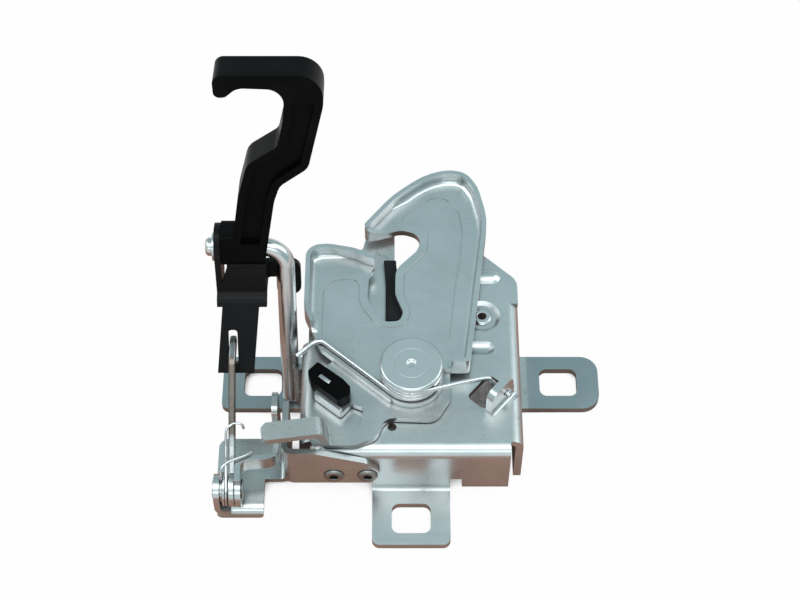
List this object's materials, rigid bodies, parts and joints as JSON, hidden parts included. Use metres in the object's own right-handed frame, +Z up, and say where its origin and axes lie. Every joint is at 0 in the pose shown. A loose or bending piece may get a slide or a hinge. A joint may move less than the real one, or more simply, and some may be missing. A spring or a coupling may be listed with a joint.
{
  "type": "bonnet latch",
  "caption": "Bonnet latch: pressed tray with ears, sprung double-notch hook over a striker slot, release lever with raised tab, and a hand lever on a bent bar that drives a small crank.",
  "frame": {"origin": "midway between the two side ear holes, on the underside of the ears", "axes": "+X towards the side without the hand lever, +Y towards the striker slot's mouth, +Z up from the ears to the tray's top"},
  "size_m": [0.1529, 0.1502, 0.1509],
  "materials": {
    "zinc_sheet": "bluish zinc plating, satin, lightly streaked",
    "zinc_hook": "bluish zinc plating, satin",
    "bracket_zinc": "zinc plating, satin, slightly warm",
    "bar_steel": "plated drawn wire",
    "weld_steel": "plated weld bead, uneven",
    "rivet_steel": "turned and plated",
    "dark_rivet": "dull steel",
    "spring_steel": "bright spring wire",
    "bush_brass": "plain, hidden",
    "bush_plastic": "plain, mostly hidden",
    "black_rubber": "matt",
    "black_plastic": "fine grain, matt",
    "black_steel": "black coating, matt"
  },
  "bodies": {
    "base": {"base_plate": "zinc_sheet", "slot_buffer": "black_rubber", "boss_rivet": "rivet_steel", "pivot_rivet": "rivet_steel", "pivot_bush": "bush_brass", "main_spring": "spring_steel", "support_rod": "bar_steel", "rod_weld": "weld_steel", "rod_end_ring": "rivet_steel", "crank_bracket": "bracket_zinc", "bracket_rivets": "dark_rivet", "crank_pin": "rivet_steel", "crank_spacer": "rivet_steel"},
    "hook": {"hook": "zinc_hook", "release_lever": "zinc_hook", "cable_clip": "black_plastic"},
    "handle": {"handle_bracket": "black_steel", "handle_grip": "black_plastic", "handle_bush": "bush_plastic"},
    "crank": {"crank_strip": "bracket_zinc", "crank_arm": "bracket_zinc", "crank_spring": "spring_steel"}
  },
  "joints": [
    {"name": "hook_turn", "type": "hinge", "parent": "base", "child": "hook", "pos_m": [0, -0.018, 0.03], "axis": [0, 0, 1], "range_deg": [-22, 0], "stiffness_Nm_per_rad": 0.8, "springref_deg": 20.05, "deforming": ["main_spring"]},
    {"name": "handle_pull", "type": "hinge", "parent": "base", "child": "handle", "pos_m": [-0.065, 0.0176, 0.0715], "axis": [1, 0, 0], "range_deg": [0, 12]},
    {"name": "crank_turn", "type": "hinge", "parent": "base", "child": "crank", "pos_m": [-0.0674, -0.0534, 0.012], "axis": [1, 0, 0], "range_deg": [-8, 0], "stiffness_Nm_per_rad": 0.15, "springref_deg": 22.92, "deforming": ["crank_spring"]}
  ],
  "couplings": [
    {"joint": "crank_turn", "follows": "handle_pull", "ratio": -0.66}
  ]
}
